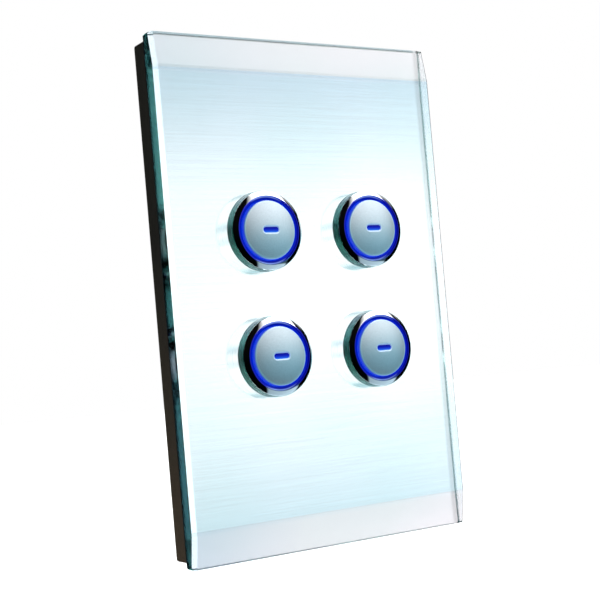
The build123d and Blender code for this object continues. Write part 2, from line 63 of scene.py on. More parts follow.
# Camera: a short telephoto lens to the left of the keypad and a little below its
# middle, turned a little on its side, with the film raised to keep the plate upright.
camera_place = (-0.16194, -0.2527, -0.01579)
camera_turn = (91.429, 4.913, -32.443)
focal_length = 75.57
film_width = 36.0
film_rise = 0.05
scene = bpy.context.scene
camera = bpy.data.objects.new("camera", bpy.data.cameras.new("camera"))
camera.location = camera_place
camera.rotation_euler = [math.radians(angle) for angle in camera_turn]
camera.data.lens = focal_length
camera.data.sensor_width = film_width
camera.data.shift_y = film_rise
camera.data.clip_start = 0.01
scene.collection.objects.link(camera)
scene.camera = camera
scene.view_settings.view_transform = "Standard"

# Light is mirrored inside the glass many times before it comes out.
scene.cycles.max_bounces = 32
scene.cycles.transmission_bounces = 32
scene.cycles.glossy_bounces = 16


def linear(colour):
    """A hex colour, as a screen shows it, in linear light."""
    channels = [int(colour[start:start + 2], 16) / 255 for start in (1, 3, 5)]
    return [c / 12.92 if c <= 0.04045 else ((c + 0.055) / 1.055) ** 2.4 for c in channels] + [1.0]


def add(tree, kind, inputs={}, stops=(), **settings):
    """Add a node, or change one that the tree starts with: its settings, its inputs by name
    or number, from values, sockets or other nodes, and a ramp's stops."""
    given = kind in ("Background", "Principled BSDF", "Material Output")
    node = tree.nodes[kind] if given else tree.nodes.new("ShaderNode" + kind)
    for name, value in settings.items():
        setattr(node, name, value)
    for key, value in inputs.items():
        if isinstance(value, bpy.types.Node):
            value = next(output for output in value.outputs if output.enabled)
        if isinstance(value, bpy.types.NodeSocket):
            tree.links.new(value, node.inputs[key])
        else:
            node.inputs[key].default_value = value
    for index, (place, colour) in enumerate(stops):
        marks = node.color_ramp.elements
        mark = marks[index] if index < 2 else marks.new(place)
        mark.position = place
        mark.color = linear(colour)
    return node


# Studio: a white room hung with black curtains. Bare parts mirror a tall opening of light at
# the right front, wider high up and low down, and a weaker light to the right behind it. The
# plate, behind its glass, mirrors a wide pale wall. The camera itself sees plain white.
mm = 0.001
studio = bpy.data.worlds.new("studio")
scene.world = studio
studio.use_nodes = True


def band(tree, value, low, high, soft):
    """1 where a value lies between two limits, falling to 0 over a soft edge."""
    rise = add(tree, "MapRange", {0: value, 1: low - soft, 2: low + soft}, interpolation_type="SMOOTHSTEP")
    fall = add(tree, "MapRange", {0: value, 1: high + soft, 2: high - soft}, interpolation_type="SMOOTHSTEP")
    return add(tree, "Math", {0: rise, 1: fall}, operation="MULTIPLY")


def light_the_studio():
    # Angles are in degrees: turn goes right from straight ahead of the keypad, rise up from level.
    opening_left = 4
    opening_right = 60
    opening_gain = 1.15
    rear_light = (77, 150)
    wall_end = 80
    wall_end_tone = 0.1
    curtain_tone = 0.003
    soft_edge = 2
    bounced = 0.5
    tree = studio.node_tree
    way = add(tree, "TexCoord").outputs["Generated"]
    parts = add(tree, "SeparateXYZ", {0: way}).outputs
    ahead = add(tree, "Math", {0: parts[1], 1: -1.0}, operation="MULTIPLY")
    turn = add(tree, "Math", {0: parts[0], 1: ahead}, operation="ARCTAN2")
    turn = add(tree, "Math", {0: turn}, operation="DEGREES")
    aside = add(tree, "Math", {0: turn}, operation="ABSOLUTE")
    rise = add(tree, "Math", {0: parts[2]}, operation="ARCSINE")
    rise = add(tree, "Math", {0: rise}, operation="DEGREES")
    steep = add(tree, "Math", {0: rise}, operation="ABSOLUTE")
    height = add(tree, "MapRange", {0: rise, 1: -90, 2: 90})

    # The opening and the wall both grow stronger to the sides.
    slant = add(tree, "MapRange", {0: aside, 1: 13, 2: 70, 3: 1.9, 4: 3.4})

    # What bare metal sees. The opening starts further right low down, fades in over a longer
    # way high up, and reaches further right the steeper the ray.
    window = add(tree, "ValToRGB", {0: height},
                 stops=((0.0, "#6c7d86"), (1.0, "#ffffff"), (0.335, "#6c7d86"), (0.35, "#1c2a30"),
                        (0.39, "#1c2a30"), (0.4, "#4a8492"), (0.46, "#4a8492"), (0.5, "#80aebb"),
                        (0.53, "#a8c0c5"), (0.59, "#e4e8e8"), (0.64, "#ffffff")))
    late_start = add(tree, "MapRange", {0: rise, 1: -18, 2: -24, 4: 7})
    from_start = add(tree, "Math", {0: turn, 1: late_start}, operation="SUBTRACT")
    full = add(tree, "MapRange", {0: rise, 1: 26, 2: 38, 3: 9, 4: 28})
    begun = add(tree, "MapRange", {0: from_start, 1: opening_left, 2: full})
    widening = add(tree, "MapRange", {0: steep, 1: 20, 2: 60, 4: 32})
    from_end = add(tree, "Math", {0: turn, 1: widening}, operation="SUBTRACT")
    ended = add(tree, "MapRange", {0: from_end, 1: opening_right + soft_edge, 2: opening_right - soft_edge})
    opening = add(tree, "Math", {0: begun, 1: ended}, operation="MULTIPLY")
    front = add(tree, "Math", {0: opening, 1: slant}, operation="MULTIPLY")
    front = add(tree, "Math", {0: front, 1: opening_gain}, operation="MULTIPLY")
    behind = band(tree, turn, *rear_light, soft_edge)
    above = add(tree, "MapRange", {0: rise, 1: 19, 2: 36, 4: 0.75})
    rear = add(tree, "Math", {0: behind, 1: above}, operation="MULTIPLY")
    bare = add(tree, "Math", {0: front, 1: rear}, operation="ADD")
    bare = add(tree, "Math", {0: bare, 1: curtain_tone}, operation="ADD")

    # What is seen through the glass: a pale wall, brightest level with the keypad. It is one
    # plain tone at the far right, and at the left above and below that level.
    wall = add(tree, "ValToRGB", {0: height},
               stops=((0.0, "#c0c8cc"), (1.0, "#cccccc"), (0.35, "#8ea1a7"), (0.43, "#8ea1a7"),
                      (0.463, "#b8b5ba"), (0.515, "#e3d7d8"), (0.55, "#cac3c6"), (0.57, "#a3aab1"),
                      (0.6, "#96a1a8"), (0.65, "#cccccc")))
    wide = add(tree, "MapRange", {0: aside, 1: wall_end + soft_edge, 2: wall_end - soft_edge,
                                  3: wall_end_tone})
    through = add(tree, "Math", {0: wide, 1: slant}, operation="MULTIPLY")
    high_up = add(tree, "MapRange", {0: rise, 1: 14, 2: 22})
    low_down = add(tree, "MapRange", {0: rise, 1: -8, 2: -13})
    off_level = add(tree, "Math", {0: high_up, 1: low_down}, operation="MAXIMUM")
    leftward = add(tree, "MapRange", {0: turn, 1: 24, 2: 14})
    leftward = add(tree, "Math", {0: leftward, 1: off_level}, operation="MULTIPLY")
    rightward = add(tree, "MapRange", {0: turn, 1: 54, 2: 62})
    plain_wall = add(tree, "Math", {0: leftward, 1: rightward}, operation="MAXIMUM")
    wall_hue = add(tree, "Mix", {0: plain_wall, 6: wall, 7: linear("#ece6e8")}, data_type="RGBA")

    # Matt surfaces are lit evenly, a little more from above, as by large soft boxes. What the
    # camera sees with no mirror on the way, in the open or through the glass, is plain white.
    path = add(tree, "LightPath").outputs
    even = add(tree, "MapRange", {0: rise, 1: -60, 2: 60, 3: 0.9, 4: 1.2})
    inside = add(tree, "Math", {0: path["Transmission Depth"], 1: bounced}, operation="GREATER_THAN")
    matt = add(tree, "Math", {0: path["Diffuse Depth"], 1: bounced}, operation="GREATER_THAN")
    unmirrored = add(tree, "Math", {0: path["Glossy Depth"], 1: bounced}, operation="LESS_THAN")
    straight = add(tree, "Math", {0: unmirrored, 1: inside}, operation="MULTIPLY")
    direct = add(tree, "Math", {0: straight, 1: path["Is Camera Ray"]}, operation="MAXIMUM")
    strength = add(tree, "Mix", {0: inside, 2: bare, 3: through})
    strength = add(tree, "Mix", {0: matt, 2: strength, 3: even})
    strength = add(tree, "Mix", {0: direct, 2: strength, 3: 1.0})
    plain = add(tree, "Math", {0: matt, 1: direct}, operation="MAXIMUM")
    hue = add(tree, "Mix", {0: inside, 6: window, 7: wall_hue}, data_type="RGBA")
    colour = add(tree, "Mix", {0: plain, 6: hue, 7: (1, 1, 1, 1)}, data_type="RGBA")
    add(tree, "Background", {"Color": colour, "Strength": strength})


light_the_studio()
floor_drop = 60 * mm
floor_size = 3.0
floor_mesh = bpy.data.meshes.new("floor")
floor_level = cad_low.z - floor_drop
floor_ends = [(x * floor_size, y * floor_size, floor_level) for x, y in ((-1, -1), (1, -1), (1, 1), (-1, 1))]
floor_mesh.from_pydata(floor_ends, [], [(0, 1, 2, 3)])
floor = bpy.data.objects.new("floor", floor_mesh)
scene.collection.objects.link(floor)
floor.visible_glossy = False
floor.visible_transmission = False


def finish(name, values={}):
    """Start a material from values on its shader: the material, its tree and the place."""
    material = bpy.data.materials.new(name)
    material.use_nodes = True
    tree = material.node_tree
    add(tree, "Principled BSDF", values)
    place = add(tree, "TexCoord").outputs["Object"]
    return material, tree, place


def white_acrylic_floor():
    # Cast acrylic is even: faint clouds about half a metre across keep it from looking flat.
    material, tree, place = finish("white_acrylic_floor", {"Roughness": 0.5})
    cloud = add(tree, "TexNoise", {"Vector": place, "Scale": 1 / (500 * mm)})
    tone = add(tree, "ValToRGB", {0: cloud}, stops=((0.3, "#f6f6f6"), (0.7, "#fbfbfb")))
    add(tree, "Principled BSDF", {"Base Color": tone, "Emission Color": tone, "Emission Strength": 0.5})
    return material


floor_mesh.materials.append(white_acrylic_floor())


# Rear housing and mounting base: the dark cup in the wall box and the plate screwed to
# it, injection moulded in ABS from spark-eroded tools, which leave an even matt grain.
def dress(material, *nodes):
    """Give a finish to pieces whose shape comes from the frame."""
    for node in nodes:
        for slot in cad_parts[node].material_slots:
            slot.material = material


def moulded_black_abs():
    # ABS reflects softly; the eroded grain is about 0.15 mm across, drawn at 0.3 mm.
    material, tree, place = finish("moulded_black_abs", {"Roughness": 0.55, "IOR": 1.53})
    grain = add(tree, "TexNoise", {"Vector": place, "Scale": 1 / (0.3 * mm), "Detail": 3.0})
    flow = add(tree, "TexNoise", {"Vector": place, "Scale": 1 / (18 * mm), "Detail": 2.0})
    tone = add(tree, "ValToRGB", {0: flow}, stops=((0.3, "#2b2b2d"), (0.7, "#343435")))
    relief = add(tree, "Bump", {"Height": grain, "Strength": 0.25, "Distance": 0.02 * mm})
    add(tree, "Principled BSDF", {"Base Color": tone, "Normal": relief})
    return material


dress(moulded_black_abs(), "rear_housing", "mounting_base")


# Screws: pan-headed housing screws and the slotted terminal screws, cold headed from
# steel wire, then zinc plated, which gives a bluish satin with slight clouds.
def mottle(tree, pattern, dark, light, smooth, rough):
    """Vary a finish's colour and roughness with a pattern."""
    tone = add(tree, "ValToRGB", {0: pattern}, stops=((0.3, dark), (0.7, light)))
    shine = add(tree, "MapRange", {0: pattern, 3: smooth, 4: rough})
    add(tree, "Principled BSDF", {"Base Color": tone, "Roughness": shine})


def zinc_plated_steel():
    # Plating clouds are about 1 mm across.
    material, tree, place = finish("zinc_plated_steel", {"Metallic": 1.0})
    cloud = add(tree, "TexNoise", {"Vector": place, "Scale": 1 / (1.0 * mm), "Detail": 4.0})
    mottle(tree, cloud, "#b4b8bd", "#d3d6da", 0.25, 0.45)
    return material


dress(zinc_plated_steel(), "housing_screws", "terminal_screws")


# Terminal block: four ways for the bus wires, moulded in slate-grey polyamide. It is
# soldered to the rear board and reaches through a window in the housing.
def moulded_polyamide():
    # Polyamide has a soft shine with flow marks a few millimetres across.
    material, tree, place = finish("moulded_polyamide", {"IOR": 1.53})
    flow = add(tree, "TexNoise", {"Vector": place, "Scale": 1 / (3.0 * mm), "Detail": 3.0})
    mottle(tree, flow, "#545c62", "#5e666c", 0.34, 0.46)
    return material


dress(moulded_polyamide(), "terminal_block")


# Terminal clamps: small cages folded from brass strip, which the screws draw up on the
# wires. The rolled strip shows fine lines along its length and dulls to straw.
def rolled_brass():
    # Rolling lines are about 0.1 mm apart, drawn at 0.2 mm, and run along the strip.
    material, tree, place = finish("rolled_brass", {"Metallic": 1.0})
    strip = add(tree, "Mapping", {"Vector": place, "Scale": (1.0, 1.0, 0.1)})
    lines = add(tree, "TexNoise", {"Vector": strip, "Scale": 1 / (0.2 * mm)})
    mottle(tree, lines, "#b08d45", "#d6b768", 0.22, 0.42)
    return material


dress(rolled_brass(), "terminal_clamps")


# Circuit boards: the bus board and the switch board, routed from glass-fibre laminate
# and coated with green solder mask, under which the woven glass shows faintly.
def solder_masked_laminate():
    # The glass cloth's threads are about 0.5 mm apart; copper areas lie paler under the mask.
    # A wave turns by 20 radians in each unit of its scale.
    wave_turn = 20
    threads = 2 * math.pi / (wave_turn * 0.5 * mm)
    material, tree, place = finish("solder_masked_laminate", {"Roughness": 0.3, "IOR": 1.5})
    warp = add(tree, "TexWave", {"Vector": place, "Scale": threads, "Distortion": 0.3}, bands_direction="X")
    weft = add(tree, "TexWave", {"Vector": place, "Scale": threads, "Distortion": 0.3}, bands_direction="Z")
    weave = add(tree, "Math", {0: warp.outputs[1], 1: weft.outputs[1]}, operation="MULTIPLY")
    copper = add(tree, "TexVoronoi", {"Vector": place, "Scale": 1 / (4 * mm)}, distance="CHEBYCHEV")
    track = add(tree, "ValToRGB", {0: copper}, stops=((0.42, "#0f4a2a"), (0.46, "#1d6b3f")))
    relief = add(tree, "Bump", {"Height": weave, "Strength": 0.2, "Distance": 0.01 * mm})
    add(tree, "Principled BSDF", {"Base Color": track, "Normal": relief})
    return material


dress(solder_masked_laminate(), "bus_board", "switch_board")


# Microcontroller, chip resistors and the plug-in pair between the boards: black
# moulded bodies with tinned leads, pins and end caps, soldered to the boards.
def tinned_black_epoxy(name, is_tinned):
    """Moulded epoxy whose metal parts are the places that is_tinned picks out."""
    # Epoxy is dull from its moulded grain of about 0.1 mm; tin is bright and softly mirrored.
    material, tree, place = finish(name, {"IOR": 1.55})
    parts = add(tree, "SeparateXYZ", {0: place}).outputs
    tinned = is_tinned(tree, parts)
    grain = add(tree, "TexNoise", {"Vector": place, "Scale": 1 / (0.1 * mm)})
    black = add(tree, "ValToRGB", {0: grain}, stops=((0.3, "#1e1e20"), (0.7, "#29292b")))
    colour = add(tree, "Mix", {0: tinned, 6: black, 7: linear("#c9ccd0")}, data_type="RGBA")
    dull = add(tree, "MapRange", {0: tinned, 3: 0.6, 4: 0.28})
    add(tree, "Principled BSDF", {"Base Color": colour, "Metallic": tinned, "Roughness": dull})
    return material


def outside(tree, value, limit):
    """1 where a coordinate's size is over a limit, and 0 elsewhere."""
    size = add(tree, "Math", {0: value}, operation="ABSOLUTE")
    return add(tree, "Math", {0: size, 1: limit}, operation="GREATER_THAN")


def chip_leads(tree, parts):
    chip_half = 3.52 * mm
    across = outside(tree, parts[0], chip_half)
    along = outside(tree, parts[2], chip_half)
    return add(tree, "Math", {0: across, 1: along}, operation="MAXIMUM")


def resistor_caps(tree, parts):
    row_height = 15 * mm
    cap_start = 0.62 * mm
    size = add(tree, "Math", {0: parts[2]}, operation="ABSOLUTE")
    along = add(tree, "Math", {0: size, 1: row_height}, operation="SUBTRACT")
    return outside(tree, along, cap_start)


def header_pins(tree, parts):
    block_front = 9.98 * mm
    return add(tree, "Math", {0: parts[1], 1: block_front}, operation="LESS_THAN")


dress(tinned_black_epoxy("moulded_epoxy_chip", chip_leads), "microcontroller")
dress(tinned_black_epoxy("chip_resistor_ceramic", resistor_caps), "resistors")
dress(tinned_black_epoxy("moulded_nylon_header", header_pins), "board_socket", "board_header")


# Bus transformer: a winding under polyester tape on a sintered ferrite core. Ferrite is
# a dull grey ceramic with fine pits, and the tape is amber and slightly shiny.
def taped_ferrite():
    # Pits in the sintered core are about 0.15 mm across.
    tape_half = 3.4 * mm
    low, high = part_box("bus_transformer")
    core_middle = (low.x + high.x) / 2
    material, tree, place = finish("taped_ferrite", {"IOR": 1.5})
    parts = add(tree, "SeparateXYZ", {0: place}).outputs
    tape = band(tree, parts[0], core_middle - tape_half, core_middle + tape_half, 0.05 * mm)
    pits = add(tree, "TexNoise", {"Vector": place, "Scale": 1 / (0.15 * mm)})
    ferrite = add(tree, "ValToRGB", {0: pits}, stops=((0.35, "#232527"), (0.6, "#3a3d40")))
    colour = add(tree, "Mix", {0: tape, 6: ferrite, 7: linear("#c8962e")}, data_type="RGBA")
    dull = add(tree, "MapRange", {0: tape, 3: 0.75, 4: 0.25})
    add(tree, "Principled BSDF", {"Base Color": colour, "Roughness": dull})
    return material


dress(taped_ferrite(), "bus_transformer")


# Capacitors: two aluminium cans, drawn from sheet, in a heat-shrunk dark blue sleeve
# that leaves the bare end of each can showing.
def sleeved_aluminium_can():
    # The bare end starts 0.5 mm from the can's end and has drawing marks about 0.3 mm apart.
    sleeve_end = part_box("capacitors")[1].y - 0.5 * mm
    material, tree, place = finish("sleeved_aluminium_can")
    parts = add(tree, "SeparateXYZ", {0: place}).outputs
    bare = add(tree, "Math", {0: parts[1], 1: sleeve_end}, operation="GREATER_THAN")
    marks = add(tree, "TexNoise", {"Vector": place, "Scale": 1 / (0.3 * mm)})
    can = add(tree, "ValToRGB", {0: marks}, stops=((0.3, "#c4c8cc"), (0.7, "#dfe2e4")))
    colour = add(tree, "Mix", {0: bare, 6: linear("#20283a"), 7: can}, data_type="RGBA")
    shine = add(tree, "MapRange", {0: marks, 3: 0.22, 4: 0.36})
    add(tree, "Principled BSDF", {"Base Color": colour, "Metallic": bare, "Roughness": shine})
    return material


dress(sleeved_aluminium_can(), "capacitors")


# Lamps: small surface-mount LEDs on the front board, four under each ring and one for
# each dash. A white package holds clear resin, which glows blue when lit.
def lit_led_resin():
    # The glow is uneven over about 0.5 mm, brightest over each die.
    material, tree, place = finish("lit_led_resin", {"Roughness": 0.2, "IOR": 1.5})
    glow = add(tree, "TexNoise", {"Vector": place, "Scale": 1 / (0.5 * mm)})
    light = add(tree, "ValToRGB", {0: glow}, stops=((0.3, "#2f5cff"), (0.7, "#8fb4ff")))
    add(tree, "Principled BSDF", {"Base Color": linear("#e8e6da"), "Emission Color": light,
                                  "Emission Strength": 2.0})
    return material


dress(lit_led_resin(), "ring_leds", "indicator_leds")


# Light box and button stems: white polycarbonate mouldings. The box keeps each ring's
# light to itself, and each stem carries its cap's press to the switch.
def white_polycarbonate():
    # Light sinks about 0.5 mm into it; the surface has a faint moulded ripple.
    material, tree, place = finish("white_polycarbonate", {"Roughness": 0.35, "IOR": 1.58})
    ripple = add(tree, "TexNoise", {"Vector": place, "Scale": 1 / (2.5 * mm)})
    tone = add(tree, "ValToRGB", {0: ripple}, stops=((0.3, "#e4e6e6"), (0.7, "#f0f1f0")))
    add(tree, "Principled BSDF", {"Base Color": tone, "Subsurface Weight": 0.3,
                                  "Subsurface Scale": 0.5 * mm})
    return material


places = ("upper_left", "upper_right", "lower_left", "lower_right")
dress(white_polycarbonate(), "light_box", *[f"button_stem_{place}" for place in places])


# Tact switches and their plungers: a black polyamide body with a steel cover, and a
# black acetal pin that carries the press.
def covered_tact_switch():
    # The pressed steel cover lies over the front third; its grain is about 0.1 mm across.
    cover_back = -0.2 * mm
    material, tree, place = finish("covered_tact_switch", {"IOR": 1.5})
    parts = add(tree, "SeparateXYZ", {0: place}).outputs
    cover = add(tree, "Math", {0: parts[1], 1: cover_back}, operation="LESS_THAN")
    grain = add(tree, "TexNoise", {"Vector": place, "Scale": 1 / (0.1 * mm)})
    steel = add(tree, "ValToRGB", {0: grain}, stops=((0.3, "#a9adb1"), (0.7, "#c6c9cc")))
    colour = add(tree, "Mix", {0: cover, 6: linear("#222224"), 7: steel}, data_type="RGBA")
    dull = add(tree, "MapRange", {0: cover, 3: 0.55, 4: 0.32})
    add(tree, "Principled BSDF", {"Base Color": colour, "Metallic": cover, "Roughness": dull})
    return material


def black_acetal():
    # Acetal is slippery and slightly waxy, with marks about 0.4 mm across.
    material, tree, place = finish("black_acetal", {"IOR": 1.48})
    wax = add(tree, "TexNoise", {"Vector": place, "Scale": 1 / (0.4 * mm)})
    mottle(tree, wax, "#202022", "#2c2c2e", 0.3, 0.42)
    return material


dress(covered_tact_switch(), *[f"tact_switch_{place}" for place in places])
dress(black_acetal(), *[f"tact_plunger_{place}" for place in places])


# Fascia frame: the dark tray behind the glass, moulded in ABS with a fine matt grain.
# It is the black side of the keypad, and warms to brown low down.
def matt_dark_abs():
    # Spark-eroded grain about 0.2 mm across, drawn at 0.35 mm so that it shows.
    material, tree, place = finish("matt_dark_abs",
                                   {"Roughness": 0.7, "IOR": 1.53, "Specular IOR Level": 0.2})
    grain = add(tree, "TexNoise", {"Vector": place, "Scale": 1 / (0.35 * mm), "Detail": 4.0})
    parts = add(tree, "SeparateXYZ", {0: place}).outputs
    low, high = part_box("fascia_frame")
    height = add(tree, "MapRange", {0: parts[2], 1: low.z, 2: high.z})
    warmth = add(tree, "ValToRGB", {0: height}, stops=((0.0, "#382e20"), (0.6, "#1c1c17")))
    speck = add(tree, "MapRange", {0: grain, 1: 0.3, 2: 0.7, 3: 0.8, 4: 1.2})
    tone = add(tree, "VectorMath", {0: warmth, "Scale": speck}, operation="SCALE")
    relief = add(tree, "Bump", {"Height": grain, "Strength": 0.3, "Distance": 0.02 * mm})
    add(tree, "Principled BSDF", {"Base Color": tone, "Normal": relief})
    return material


dress(matt_dark_abs(), "fascia_frame")


# Brushed backing: thin aluminium sheet bonded behind the glass, brushed along its width
# and pale ice blue, with painted reflection in its colour. Its border, under the bevels, is left plain.
bevel_height = 7.5 * mm


def brushed_ice_blue_aluminium():
    # Brushing lines are about 0.05 mm apart, drawn at 0.3 mm, and run on for about 30 mm.
    line_size = 0.3 * mm
    line_stretch = 0.01
    shade_strip_width = 1.4 * mm
    edge_softness = 0.05 * mm
    low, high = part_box("glass_fascia")
    lines_low = low.z + bevel_height + 0.45 * mm
    lines_high = high.z - bevel_height + 0.1 * mm
    shade_low = high.z - bevel_height - 0.6 * mm
    shade_high = high.z - bevel_height + 0.3 * mm
    shade_strip_end = low.x + shade_strip_width
    material, tree, place = finish("brushed_ice_blue_aluminium")
    parts = add(tree, "SeparateXYZ", {0: place}).outputs
    stretched = add(tree, "Mapping", {"Vector": place, "Scale": (line_stretch, 1.0, 1.0)})
    lines = add(tree, "TexNoise", {"Vector": stretched, "Scale": 1 / line_size, "Detail": 4.0,
                                   "Roughness": 0.7})
    height = add(tree, "MapRange", {0: parts[2], 1: low.z, 2: high.z})
    side = add(tree, "MapRange", {0: parts[0], 1: low.x, 2: high.x})

    # The brushed part carries a painted reflection, palest across its middle and bluer towards top and
    # bottom, and painted shade just under the top bevel.
    brushed = band(tree, parts[2], lines_low, lines_high, edge_softness)
    painted_reflection_tint = add(tree, "ValToRGB", {0: height},
               stops=((0.0, "#e8f2f8"), (1.0, "#d2dde8"), (0.3, "#f6fafc"), (0.7, "#f6fafc")))
    streak = add(tree, "MapRange", {0: lines, 1: 0.3, 2: 0.7, 3: 0.96, 4: 1.03})
    streaky = add(tree, "VectorMath", {0: painted_reflection_tint, "Scale": streak}, operation="SCALE")
    shaded = band(tree, parts[2], shade_low, shade_high, 0.25 * mm)
    shade = add(tree, "Mix", {0: shaded, 6: (1, 1, 1, 1), 7: linear("#d6dfe5")}, data_type="RGBA")
    lined = add(tree, "VectorMath", {0: streaky, 1: shade}, operation="MULTIPLY")

    # The plain border carries painted reflection, greyer above than below and changing from left to right.
    # Along the left edge lies a dark strip of painted shade.
    upper = add(tree, "ValToRGB", {0: side}, stops=((0.0, "#c2cad1"), (1.0, "#cdcdd0"), (0.5, "#cbced1")))
    lower = add(tree, "ValToRGB", {0: side}, stops=((0.0, "#c6d0dc"), (1.0, "#e1dee2"), (0.4, "#dcdce0")))
    border = add(tree, "Mix", {0: height, 6: lower, 7: upper}, data_type="RGBA")
    metal_colour = add(tree, "Mix", {0: brushed, 6: border, 7: lined}, data_type="RGBA")
    painted_edge_shade = add(tree, "MapRange", {0: parts[0], 1: shade_strip_end + edge_softness, 2: shade_strip_end - edge_softness})
    colour = add(tree, "Mix", {0: painted_edge_shade, 6: metal_colour, 7: linear("#0c161c")}, data_type="RGBA")
    metal = add(tree, "MapRange", {0: painted_edge_shade, 3: 1.0, 4: 0.0})
    depth = add(tree, "MapRange", {0: brushed, 3: 0.0, 4: 0.25})
    relief = add(tree, "Bump", {"Height": lines, "Strength": depth, "Distance": 0.02 * mm})
    add(tree, "Principled BSDF", {"Base Color": colour, "Metallic": metal, "Roughness": 0.2,
                                  "Normal": relief})
    return material


dress(brushed_ice_blue_aluminium(), "brushed_backing")


# Glass fascia: float glass, cut, bevelled along its top and bottom and polished, with
# finely ground sides and four drilled holes. Its iron makes it green where light travels far.
def place_piece(name, shape, material, body, slot, replaced, at=(0, 0, 0)):
    """Make a piece of a worked shape, with its finish, and hang it on its body. Pieces in
    the holes are hidden from rays inside the glass, where they would leave ghosts."""
    mesh = bpy.data.meshes.new(name)
    shape.to_mesh(mesh)
    shape.free()
    mesh.materials.append(material)
    piece = bpy.data.objects.new(name, mesh)
    piece.location = at
    piece.visible_transmission = slot not in ("chrome", "blue_light", "satin_silver")
    scene.collection.objects.link(piece)
    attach(piece, body)
    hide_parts(*replaced)
    return piece


def turned(profile, steps=128):
    """Turn a closed outline of (radius, height) in millimetres about a button's axis."""
    weld = 1e-7
    shape = bmesh.new()
    rings = []
    for step in range(steps):
        angle = 2 * math.pi * step / steps
        rings.append([
            shape.verts.new((r * mm * math.cos(angle), -h * mm, r * mm * math.sin(angle)))
            for r, h in profile
        ])
    for ring, following in zip(rings, rings[1:] + rings[:1]):
        for index in range(len(profile)):
            shape.faces.new((ring[index - 1], ring[index], following[index], following[index - 1]))
    bmesh.ops.remove_doubles(shape, verts=shape.verts, dist=weld)
    bmesh.ops.recalc_face_normals(shape, faces=shape.faces)
    return shape


def smooth_below(piece, degrees=35):
    """Shade smoothly across edges that turn less than an angle."""
    piece.data.shade_smooth()
    piece.data.set_sharp_from_angle(angle=math.radians(degrees))


def button_centre(place):
    low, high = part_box(f"chrome_bezel_{place}")
    return Vector(((low.x + high.x) / 2, 0, (low.z + high.z) / 2))


glass_low, glass_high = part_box("glass_fascia")
bevel_depth = 1.3 * mm
arris = 0.15 * mm
side_arris = 0.9 * mm
corner_clip = 0.4 * mm
glue_line = 0.02 * mm
hole_radius = 9.15
hole_flare = 0.04


def bevelled_plate():
    """The plate before it is drilled, a glue line clear of its backing."""
    tiny = 1e-5
    facing_room = -0.9
    shape = bmesh.new()
    bmesh.ops.create_cube(shape, size=1)
    back = glass_high.y - glue_line
    size = Vector((glass_high.x - glass_low.x, back - glass_low.y, glass_high.z - glass_low.z))
    middle = Vector((0, (back + glass_low.y) / 2, 0))
    for vert in shape.verts:
        vert.co = Vector(a * b for a, b in zip(vert.co, size)) + middle

    def cut(point, way):
        everything = shape.verts[:] + shape.edges[:] + shape.faces[:]
        made = bmesh.ops.bisect_plane(shape, geom=everything, plane_co=point, plane_no=way, clear_outer=True)
        edges = [item for item in made["geom_cut"] if isinstance(item, bmesh.types.BMEdge)]
        bmesh.ops.edgenet_fill(shape, edges=edges)
        bmesh.ops.recalc_face_normals(shape, faces=shape.faces)

    for end in (1, -1):
        cut((0, glass_low.y, end * (glass_high.z - bevel_height)), (0, -bevel_height, end * bevel_depth))
    for axis, offset in ((0, side_arris), (2, arris)):
        limit = glass_high[axis] - tiny
        rim = [e for e in shape.edges if abs(e.verts[0].co[axis] + e.verts[1].co[axis]) > 2 * limit
               and any(face.normal.y < facing_room for face in e.link_faces)]
        bmesh.ops.bevel(shape, geom=rim, offset=offset, offset_type="OFFSET", segments=1, affect="EDGES")
    for right in (1, -1):
        for up in (1, -1):
            cut((right * (glass_high.x - corner_clip), 0, up * glass_high.z), (right, 0, up))
    return shape


def drill(piece, centres):
    """Cut a flared hole at each centre."""
    run_out = 1
    front = -glass_low.y / mm
    profile = ((0, 0), (hole_radius, 0), (hole_radius, front - hole_flare),
               (hole_radius + hole_flare + run_out, front + run_out), (0, front + run_out))
    cutters = bmesh.new()
    for centre in centres:
        bit = turned(profile)
        bmesh.ops.translate(bit, vec=centre, verts=bit.verts)
        mesh = bpy.data.meshes.new("bit")
        bit.to_mesh(mesh)
        bit.free()
        cutters.from_mesh(mesh)
        bpy.data.meshes.remove(mesh)
    mesh = bpy.data.meshes.new("drill")
    cutters.to_mesh(mesh)
    cutters.free()
    tool = bpy.data.objects.new("drill", mesh)
    scene.collection.objects.link(tool)
    cut = piece.modifiers.new("holes", "BOOLEAN")
    cut.object = tool
    cut.solver = "EXACT"
    bpy.context.view_layer.update()
    drilled = bpy.data.meshes.new_from_object(piece.evaluated_get(bpy.context.evaluated_depsgraph_get()))
    piece.modifiers.remove(cut)
    piece.data = drilled
    bpy.data.objects.remove(tool)


